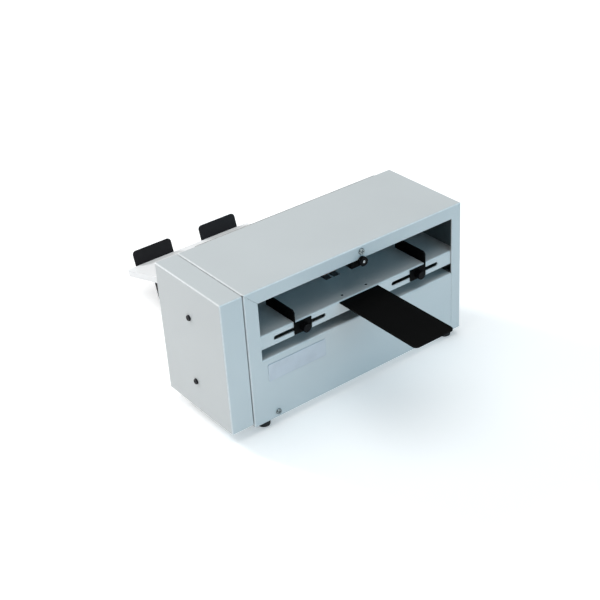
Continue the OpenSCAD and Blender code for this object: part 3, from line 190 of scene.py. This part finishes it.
def rough_normal(tree, shader, height, distance, strength, edge=None):
    bump = add(tree, "ShaderNodeBump", Height=height, Distance=distance, Strength=strength)
    if edge is not None:
        tree.links.new(edge, bump.inputs["Normal"])
    tree.links.new(bump.outputs["Normal"], shader.inputs["Normal"])


# Finishes: radii and depths in metres, noise scales per metre

SHEET_EDGE = 0.5 * MM
FINE_EDGE = 0.3 * MM
CAN_EDGE = 0.4 * MM
COAT_BLOTCH = 0.04
COAT_CLOUDS = 9.0
BEND_HIGHLIGHT = 0.9
BEND_POLISH = -0.22
HIGHLIGHT_PATCHES = 160.0
METAL_PATCHES = 60.0
METAL_LIFT = 0.01 * MM
METAL_HIGHLIGHT_GAIN = 1.15
PLASTIC_CLOUDS = 40.0
PLASTIC_GRAIN = 0.6 * MM
PLASTIC_LIFT = 0.03 * MM
PLASTIC_LIGHTER = 1.3
FLESH_DEPTH = (2.0 * MM, 1.6 * MM, 1.2 * MM)
RUBBER_GRAIN = 1400.0
RUBBER_PATCHES = 70.0
RUBBER_LIFT = 0.06 * MM
LAMINATIONS = 230.0
LAMINATION_LIFT = 0.2 * MM
BOARD_THICKNESS = 1.7 * MM
TRACKS = 90.0
TRACK_WIDTH = 0.06
BOARD_LIFT = 0.03 * MM


def coat(name, colour, highlight_colour, grain=0.9 * MM, lift=0.05 * MM, rough=(0.42, 0.55), gloss=0.5):
    """Powder coat or paint: fine orange-peel grain, faint clouds, and a painted highlight that lightens
    broken edges and rolled bends in patches.
    """
    material, tree, shader, place = new_material(name)
    bevel, edge = soft_edge(tree, SHEET_EDGE)
    clouds = noise(tree, place, COAT_CLOUDS, 4.0)
    darker = tuple(c * (1 - COAT_BLOTCH) for c in colour)
    base = mix(tree, spread(tree, clouds, 0.0, 1.0), rgba(darker), rgba(colour))
    # Painted highlight: broken edges and rolled bends are mixed toward the light edge colour, broken up in
    # patches.
    bend = rolled(tree)
    highlight_mask = math_node(tree, "MAXIMUM", edge, math_node(tree, "MULTIPLY", bend, BEND_HIGHLIGHT))
    patchy = spread(tree, noise(tree, place, HIGHLIGHT_PATCHES), 0.5, 0.9)
    highlight_mask = math_node(tree, "MULTIPLY", highlight_mask, patchy, clamp=True)
    tree.links.new(mix(tree, highlight_mask, base, rgba(highlight_colour)), shader.inputs["Base Color"])
    peel = noise(tree, place, 1 / grain, 2.0)
    smoother = math_node(tree, "MULTIPLY", bend, BEND_POLISH)
    tree.links.new(math_node(tree, "ADD", spread(tree, peel, *rough), smoother), shader.inputs["Roughness"])
    shader.inputs["Specular IOR Level"].default_value = gloss
    rough_normal(tree, shader, peel, lift, 0.5, bevel)
    return material


def metal(name, colour, rough=(0.22, 0.4), along=(1.0, 1.0, 1.0), scratch=900.0, blotch=0.08):
    """Bare or plated metal. along stretches the grinding marks: a small share runs them along that axis."""
    material, tree, shader, place = new_material(name)
    bevel, edge = soft_edge(tree, FINE_EDGE)
    marks = noise(tree, stretched(tree, place, along), scratch, 2.0)
    patches = noise(tree, place, METAL_PATCHES, 4.0)
    darker = tuple(c * (1 - blotch) for c in colour)
    base = mix(tree, spread(tree, patches, 0.0, 1.0), rgba(darker), rgba(colour))
    # Painted highlight: broken edges are mixed toward a brighter copy of the colour.
    bright = tuple(min(1.0, c * METAL_HIGHLIGHT_GAIN) for c in colour)
    tree.links.new(mix(tree, edge, base, rgba(bright)), shader.inputs["Base Color"])
    shader.inputs["Metallic"].default_value = 1.0
    tree.links.new(spread(tree, marks, *rough), shader.inputs["Roughness"])
    rough_normal(tree, shader, marks, METAL_LIFT, 0.4, bevel)
    return material


def plastic(name, colour, rough=(0.35, 0.5), subsurface=0.0, gloss=0.5, wear_and_highlight=0.01):
    """Moulded plastic with a fine skin, lighter in clouds where it is handled, and lighter at its edges as a
    painted highlight.
    """
    material, tree, shader, place = new_material(name)
    bevel, edge = soft_edge(tree, FINE_EDGE)
    clouds = noise(tree, place, PLASTIC_CLOUDS)
    lighter = tuple(min(1.0, c * PLASTIC_LIGHTER + wear_and_highlight) for c in colour)
    base = mix(tree, spread(tree, clouds, 0.0, 0.25), rgba(colour), rgba(lighter))
    # Painted highlight: broken edges are mixed toward the lighter colour.
    tree.links.new(mix(tree, edge, base, rgba(lighter)), shader.inputs["Base Color"])
    skin = noise(tree, place, 1 / PLASTIC_GRAIN, 2.0)
    tree.links.new(spread(tree, skin, *rough), shader.inputs["Roughness"])
    shader.inputs["Specular IOR Level"].default_value = gloss
    shader.inputs["Subsurface Weight"].default_value = subsurface
    shader.inputs["Subsurface Radius"].default_value = FLESH_DEPTH
    rough_normal(tree, shader, skin, PLASTIC_LIFT, 0.4, bevel)
    return material


def rubber(name, colour, dust, sheen=0.15):
    """Moulded or ground rubber, with paper dust settled in its grain."""
    material, tree, shader, place = new_material(name)
    bevel, _ = soft_edge(tree, SHEET_EDGE)
    grain = noise(tree, place, RUBBER_GRAIN)
    patches = noise(tree, place, RUBBER_PATCHES, 4.0)
    dusty = math_node(tree, "MULTIPLY", spread(tree, patches, 0.0, 0.5), spread(tree, grain, 0.2, 1.0),
                      clamp=True)
    tree.links.new(mix(tree, dusty, rgba(colour), rgba(dust)), shader.inputs["Base Color"])
    tree.links.new(spread(tree, grain, 0.62, 0.85), shader.inputs["Roughness"])
    shader.inputs["Sheen Weight"].default_value = sheen
    rough_normal(tree, shader, grain, RUBBER_LIFT, 0.5, bevel)
    return material


def motor_enamel():
    """Grey enamel over a stack of laminations, whose edges show as fine rings round the can."""
    material, tree, shader, place = new_material("motor_enamel")
    bevel, edge = soft_edge(tree, CAN_EDGE)
    rings = add(tree, "ShaderNodeTexWave", {"wave_type": "BANDS", "bands_direction": "X"},
                Vector=place, Scale=LAMINATIONS, Distortion=0.0).outputs["Fac"]
    clouds = noise(tree, place, 50.0, 4.0)
    base = mix(tree, spread(tree, clouds, 0.0, 1.0), rgba((0.16, 0.17, 0.18)), rgba((0.22, 0.23, 0.245)))
    # Painted highlight: the can's broken edges are mixed toward light grey.
    tree.links.new(mix(tree, edge, base, rgba((0.4, 0.4, 0.4))), shader.inputs["Base Color"])
    tree.links.new(spread(tree, clouds, 0.35, 0.5), shader.inputs["Roughness"])
    rough_normal(tree, shader, rings, LAMINATION_LIFT, 0.6, bevel)
    return material


def circuit_board():
    """Green solder mask with tracks near the board, dark moulded parts above it."""
    material, tree, shader, place = new_material("circuit_board")
    bevel, _ = soft_edge(tree, FINE_EDGE)
    low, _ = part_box("control_board")
    split = tree.nodes.new("ShaderNodeSeparateXYZ")
    tree.links.new(place, split.inputs[0])
    part = math_node(tree, "GREATER_THAN", split.outputs["Z"], low.z + BOARD_THICKNESS)
    tracks = add(tree, "ShaderNodeTexBrick", {"offset": 0.37, "squash": 1.0}, Vector=place, Scale=TRACKS,
                 Color1=rgba((0.02, 0.17, 0.08)), Color2=rgba((0.03, 0.22, 0.1)),
                 Mortar=rgba((0.16, 0.42, 0.2)), Mortar_Size=TRACK_WIDTH).outputs["Color"]
    moulded = mix(tree, spread(tree, noise(tree, place, 45.0), 0.0, 1.0), rgba((0.02, 0.022, 0.03)),
                  rgba((0.05, 0.055, 0.065)))
    tree.links.new(mix(tree, part, tracks, moulded), shader.inputs["Base Color"])
    grain = noise(tree, place, 900.0)
    tree.links.new(spread(tree, grain, 0.3, 0.5), shader.inputs["Roughness"])
    rough_normal(tree, shader, grain, BOARD_LIFT, 0.3, bevel)
    return material


HOUSING = (0.60, 0.625, 0.63)
PAINTED_HIGHLIGHT = (0.93, 0.95, 0.96)


def make_materials():
    """Each material with the CAD nodes that it covers."""
    # Each coat's second colour is the light colour of its painted edge highlight.
    housing = coat("housing_coat", HOUSING, PAINTED_HIGHLIGHT)
    black = coat("black_coat", (0.006, 0.006, 0.008), (0.05, 0.05, 0.055), grain=0.7 * MM,
                 rough=(0.5, 0.66), gloss=0.2)
    matt_black = coat("matt_black_coat", (0.002, 0.002, 0.002), (0.02, 0.02, 0.02), grain=0.7 * MM,
                      rough=(0.6, 0.75), gloss=0.06)
    white = coat("white_coat", (0.86, 0.87, 0.88), (0.95, 0.95, 0.95), grain=1.5 * MM, lift=0.02 * MM)
    steel = metal("ground_steel", (0.60, 0.61, 0.62), along=(0.05, 1.0, 1.0))
    zinc = metal("zinc_plate", (0.66, 0.67, 0.66), rough=(0.3, 0.48), scratch=300.0, blotch=0.14)
    # Painted shade: the frame plates' zinc is darkened to stand in for the shade inside the housing.
    shade_darkened_zinc = metal("shade_darkened_zinc", (0.26, 0.31, 0.33), rough=(0.45, 0.6), scratch=300.0, blotch=0.14)
    # Painted reflection: the nickel is darkened to stand in for the dark surroundings that its polished
    # heads reflect.
    nickel = metal("nickel_plate", (0.27, 0.31, 0.32), rough=(0.14, 0.26), scratch=600.0, blotch=0.2)
    oxide = metal("black_oxide", (0.035, 0.035, 0.038), rough=(0.4, 0.55), blotch=0.2)
    brushed = metal("brushed_plate", (0.52, 0.58, 0.64), rough=(0.3, 0.45), along=(0.02, 1.0, 1.0),
                    scratch=1500.0)
    bronze = metal("sintered_bronze", (0.50, 0.33, 0.16), rough=(0.38, 0.55), scratch=1500.0, blotch=0.18)
    nylon = plastic("natural_nylon", (0.78, 0.75, 0.66), subsurface=0.2)
    black_plastic = plastic("black_plastic", (0.012, 0.012, 0.014), rough=(0.42, 0.58))
    knob_plastic = plastic("knob_plastic", (0.001, 0.001, 0.0015), rough=(0.5, 0.62), gloss=0.1, wear_and_highlight=0.004)
    black_rubber = rubber("black_rubber", (0.014, 0.014, 0.015), (0.10, 0.10, 0.10))
    # Painted shade: the feet's rubber and dust are set darker than rubber to cancel the light the pale floor
    # throws up under the machine.
    foot_rubber = rubber("foot_rubber", (0.003, 0.003, 0.003), (0.012, 0.012, 0.012), sheen=0.0)
    brown_rubber = rubber("friction_rubber", (0.20, 0.075, 0.04), (0.33, 0.24, 0.19))
    enamel = motor_enamel()
    board = circuit_board()
    return {
        housing: ["front_panel", "gear_cover", "main_cover", "rear_panel", "base_pan", "feed_shelf"],
        black: ["tray_leg", "paper_stop", "feed_guard"],
        matt_black: ["feed_tongue", "separator_bracket", "left_side_guide", "right_side_guide"],
        white: ["exit_tray"],
        steel: ["tie_rods", "front_tie_bar", "gear_studs", "gear_cover_pillars", "hinge_pin", "adjust_rod",
                "lower_crease_shaft", "crease_anvil", "lower_crease_gears", "upper_crease_shaft",
                "crease_wheel", "upper_crease_gear", "feed_shaft", "exit_shaft", "motor_shaft"],
        shade_darkened_zinc: ["left_frame_plate", "right_frame_plate"],
        zinc: ["exit_guide_plate", "hinge_lower_leaf", "hinge_upper_leaf", "separator_holder", "knob_screw"],
        nickel: ["chassis_screws", "cover_lock_screw"],
        oxide: ["gear_cover_screws"],
        brushed: ["name_plate"],
        bronze: ["shaft_bushes"],
        nylon: ["feed_gear", "exit_gear", "feed_idler_gear", "exit_idler_gear", "reduction_gear",
                "exit_upper_roller"],
        black_plastic: ["power_entry", "power_rocker"],
        knob_plastic: ["separator_knob", "left_thumbscrew", "right_thumbscrew"],
        foot_rubber: ["rubber_feet"],
        black_rubber: ["lower_drive_rollers", "upper_press_rollers", "feed_tyres", "exit_rollers"],
        brown_rubber: ["separator_pad"],
        enamel: ["motor_body"],
        board: ["control_board"],
    }


def dress_nodes():
    dressed = set()
    for material, names in make_materials().items():
        for name in names:
            mesh = nodes[name].data
            mesh.materials.clear()
            mesh.materials.append(material)
            dressed.add(name)
    missing = set(nodes) - dressed
    if missing:
        raise RuntimeError(f"no material for {sorted(missing)}")


# Small pieces: blind rivets on the back, in rows above or below the hinge's axis and above the panel's foot

RIVET_RADIUS = 2.6 * MM
RIVET_HEIGHT = 1.0 * MM
MANDREL_RADIUS = 0.9 * MM
MANDREL_DEPTH = 0.4 * MM
SEAT = 0.2 * MM
DOME_STEPS = 6
ROUND_STEPS = 24
LEAF_THICKNESS = 1.2 * MM
KNUCKLES = 15
RIVETED_KNUCKLES = (2, 4, 8, 10, 12)
LOWER_ROW = -11 * MM
UPPER_ROW = 6 * MM
BASE_ROW = 8 * MM
BASE_SHARES = (0.06, 0.28, 0.5, 0.72, 0.94)


def circle(radius, height=0.0):
    turns = [2 * math.pi * i / ROUND_STEPS for i in range(ROUND_STEPS)]
    return [Vector((radius * math.cos(t), radius * math.sin(t), height)) for t in turns]


def skin(mesh, loops, pose):
    """A closed solid through loops of equal length; the first and the last are filled."""
    rings = [[mesh.verts.new(pose @ point) for point in loop] for loop in loops]
    for lower, upper in zip(rings, rings[1:]):
        for i in range(len(lower)):
            j = (i + 1) % len(lower)
            mesh.faces.new((lower[i], lower[j], upper[j], upper[i]))
    mesh.faces.new(rings[0][::-1])
    mesh.faces.new(rings[-1])


def piece(name, mesh, body, material):
    """An object of the scene's own, smooth but for its flat ends, that moves with a body."""
    data = bpy.data.meshes.new(name)
    mesh.normal_update()
    mesh.to_mesh(data)
    mesh.free()
    data.materials.append(bpy.data.materials[material])
    for face in data.polygons:
        face.use_smooth = len(face.vertices) == 4
    made = bpy.data.objects.new(name, data)
    scene.collection.objects.link(made)
    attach(made, body)


def rivet_loops():
    """The rivet's dome from its seat up, and the hole that its mandrel leaves."""
    last = math.acos(MANDREL_RADIUS / RIVET_RADIUS)
    turns = [last * i / DOME_STEPS for i in range(DOME_STEPS + 1)]
    seat = circle(RIVET_RADIUS, -SEAT)
    dome = [circle(RIVET_RADIUS * math.cos(t), RIVET_HEIGHT * math.sin(t)) for t in turns]
    hole = circle(MANDREL_RADIUS, RIVET_HEIGHT * math.sin(last) - MANDREL_DEPTH)
    return [seat, *dome, hole]


def rivets(name, places, body):
    """Rivets whose heads point along +Y."""
    outward = Matrix.Rotation(math.radians(-90), 4, "X")
    mesh = bmesh.new()
    for place in places:
        skin(mesh, rivet_loops(), Matrix.Translation(place) @ outward)
    piece(name, mesh, body, "zinc_plate")


def make_rivets():
    low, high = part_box("hinge_pin")
    panel_low, panel_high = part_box("rear_panel")
    axis_z = (low.z + high.z) / 2
    leaf_y = panel_high.y + LEAF_THICKNESS
    columns = [low.x + (k + 0.5) * (high.x - low.x) / KNUCKLES for k in RIVETED_KNUCKLES]
    rivets("hinge_rivets_lower", [Vector((x, leaf_y, axis_z + LOWER_ROW)) for x in columns], "chassis")
    rivets("hinge_rivets_upper", [Vector((x, leaf_y, axis_z + UPPER_ROW)) for x in columns], "cover")
    width = panel_high.x - panel_low.x
    row_z = panel_low.z + BASE_ROW
    foot_row = [Vector((panel_low.x + share * width, panel_high.y, row_z)) for share in BASE_SHARES]
    rivets("rear_panel_rivets", foot_row, "chassis")


# Floor and light

FLOOR_HALF = 30.0
FLOOR_GAP = 0.2 * MM
FLOOR_CLOUDS = 3.0
FLOOR_ROUGHNESS = 0.9
FLOOR_GLOW = 0.25
WORLD_GLOW = 0.2
AIM = (0, 0, 0.1)


def make_floor():
    mesh = bpy.data.meshes.new("floor")
    corners = [(-FLOOR_HALF, -FLOOR_HALF, 0), (FLOOR_HALF, -FLOOR_HALF, 0),
               (FLOOR_HALF, FLOOR_HALF, 0), (-FLOOR_HALF, FLOOR_HALF, 0)]
    mesh.from_pydata(corners, [], [(0, 1, 2, 3)])
    floor = bpy.data.objects.new("floor", mesh)
    floor.location.z = cad_box[0][2] - FLOOR_GAP
    scene.collection.objects.link(floor)
    material, tree, shader, place = new_material("floor_paper")
    clouds = spread(tree, noise(tree, place, FLOOR_CLOUDS), 0.0, 1.0)
    tone = mix(tree, clouds, rgba((0.96, 0.96, 0.96)), rgba((0.98, 0.98, 0.98)))
    tree.links.new(tone, shader.inputs["Base Color"])
    shader.inputs["Roughness"].default_value = FLOOR_ROUGHNESS
    shader.inputs["Emission Color"].default_value = rgba((1.0, 1.0, 1.0))
    shader.inputs["Emission Strength"].default_value = FLOOR_GLOW
    mesh.materials.append(material)


def softbox(name, place, size, power, colour):
    data = bpy.data.lights.new(name, "AREA")
    data.shape = "RECTANGLE"
    data.size, data.size_y = size
    data.energy = power
    data.color = colour
    lamp = bpy.data.objects.new(name, data)
    lamp.location = place
    aim = Vector(AIM) - Vector(place)
    lamp.rotation_euler = aim.to_track_quat("-Z", "Y").to_euler()
    scene.collection.objects.link(lamp)


def make_light():
    softbox("top_softbox", (-0.6, 0.4, 4.7), (6.0, 6.0), 200, (0.98, 1.0, 1.0))
    softbox("rear_left_softbox", (-0.9, 2.2, 1.4), (0.5, 0.5), 28, (1.0, 1.0, 1.0))
    softbox("front_softbox", (1.2, -4.8, 1.7), (4.8, 3.2), 76, (0.20, 0.70, 1.0))
    world = bpy.data.worlds.new("studio")
    scene.world = world
    world.use_nodes = True
    back = world.node_tree.nodes["Background"]
    back.inputs["Color"].default_value = rgba((1.0, 1.0, 1.0))
    back.inputs["Strength"].default_value = WORLD_GLOW


make_camera()
dress_nodes()
make_rivets()
make_floor()
make_light()
scene.view_settings.view_transform = "Standard"
